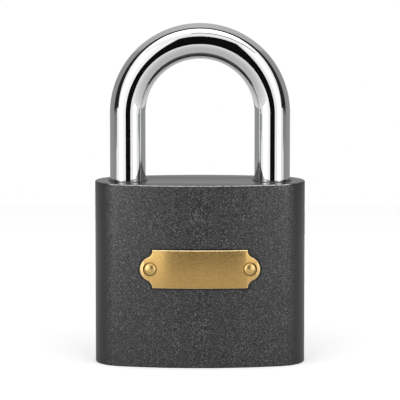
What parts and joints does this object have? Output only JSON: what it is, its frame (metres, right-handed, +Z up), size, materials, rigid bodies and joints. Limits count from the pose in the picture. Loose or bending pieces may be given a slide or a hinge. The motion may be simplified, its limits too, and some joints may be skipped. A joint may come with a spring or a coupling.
{
  "type": "padlock",
  "caption": "Padlock with a curved-face grey cast iron body, a chromed round shackle that lifts, a bare brass nameplate and a pin tumbler plug in its bottom.",
  "frame": {"origin": "middle of the flat bottom that the lock stands on", "axes": "+X across the width towards the shackle's short leg, +Y to the back, -Y out of the face with the nameplate, +Z up along the shackle's legs"},
  "size_m": [0.075, 0.0309, 0.1218],
  "materials": {
    "painted_iron": "dark grey speckled textured enamel on cast iron",
    "chrome": "bright polished",
    "brass_plate": "finely brushed, with a bright bevelled rim",
    "brass_rivet": "polished",
    "brass_plug": "turned",
    "brass_pin": "turned",
    "plain_steel": "plain turned",
    "spring_steel": "drawn wire"
  },
  "bodies": {
    "casing": {"body_casting": "painted_iron", "nameplate": "brass_plate", "rivet_left": "brass_rivet", "rivet_right": "brass_rivet", "shackle_spring": "spring_steel", "shackle_keeper_pin": "plain_steel", "bolt_bore_plug": "painted_iron", "plug_keeper_pin": "plain_steel", "driver_pin_1": "plain_steel", "driver_pin_2": "plain_steel", "driver_pin_3": "plain_steel", "driver_pin_4": "plain_steel", "driver_pin_5": "plain_steel", "pin_spring_1": "spring_steel", "pin_spring_2": "spring_steel", "pin_spring_3": "spring_steel", "pin_spring_4": "spring_steel", "pin_spring_5": "spring_steel", "chamber_cap_1": "painted_iron", "chamber_cap_2": "painted_iron", "chamber_cap_3": "painted_iron", "chamber_cap_4": "painted_iron", "chamber_cap_5": "painted_iron"},
    "shackle": {"shackle": "chrome"},
    "plug": {"key_plug": "brass_plug", "plug_cam": "plain_steel", "key_pin_1": "brass_pin", "key_pin_2": "brass_pin", "key_pin_3": "brass_pin", "key_pin_4": "brass_pin", "key_pin_5": "brass_pin"},
    "bolt": {"bolt": "plain_steel"}
  },
  "joints": [
    {"name": "shackle_lift", "type": "slide", "parent": "casing", "child": "shackle", "axis": [0, 0, 1], "range_m": [0, 0.026], "deforming": ["shackle_spring"]},
    {"name": "plug_turn", "type": "hinge", "parent": "casing", "child": "plug", "pos_m": [0, 0, 0.02], "axis": [0, 0, 1], "range_deg": [-90, 0]},
    {"name": "bolt_throw", "type": "slide", "parent": "casing", "child": "bolt", "axis": [1, 0, 0], "range_m": [0, 0.0036]}
  ],
  "couplings": [
    {"joint": "bolt_throw", "follows": "plug_turn", "m_per_rad": -0.0022918}
  ]
}
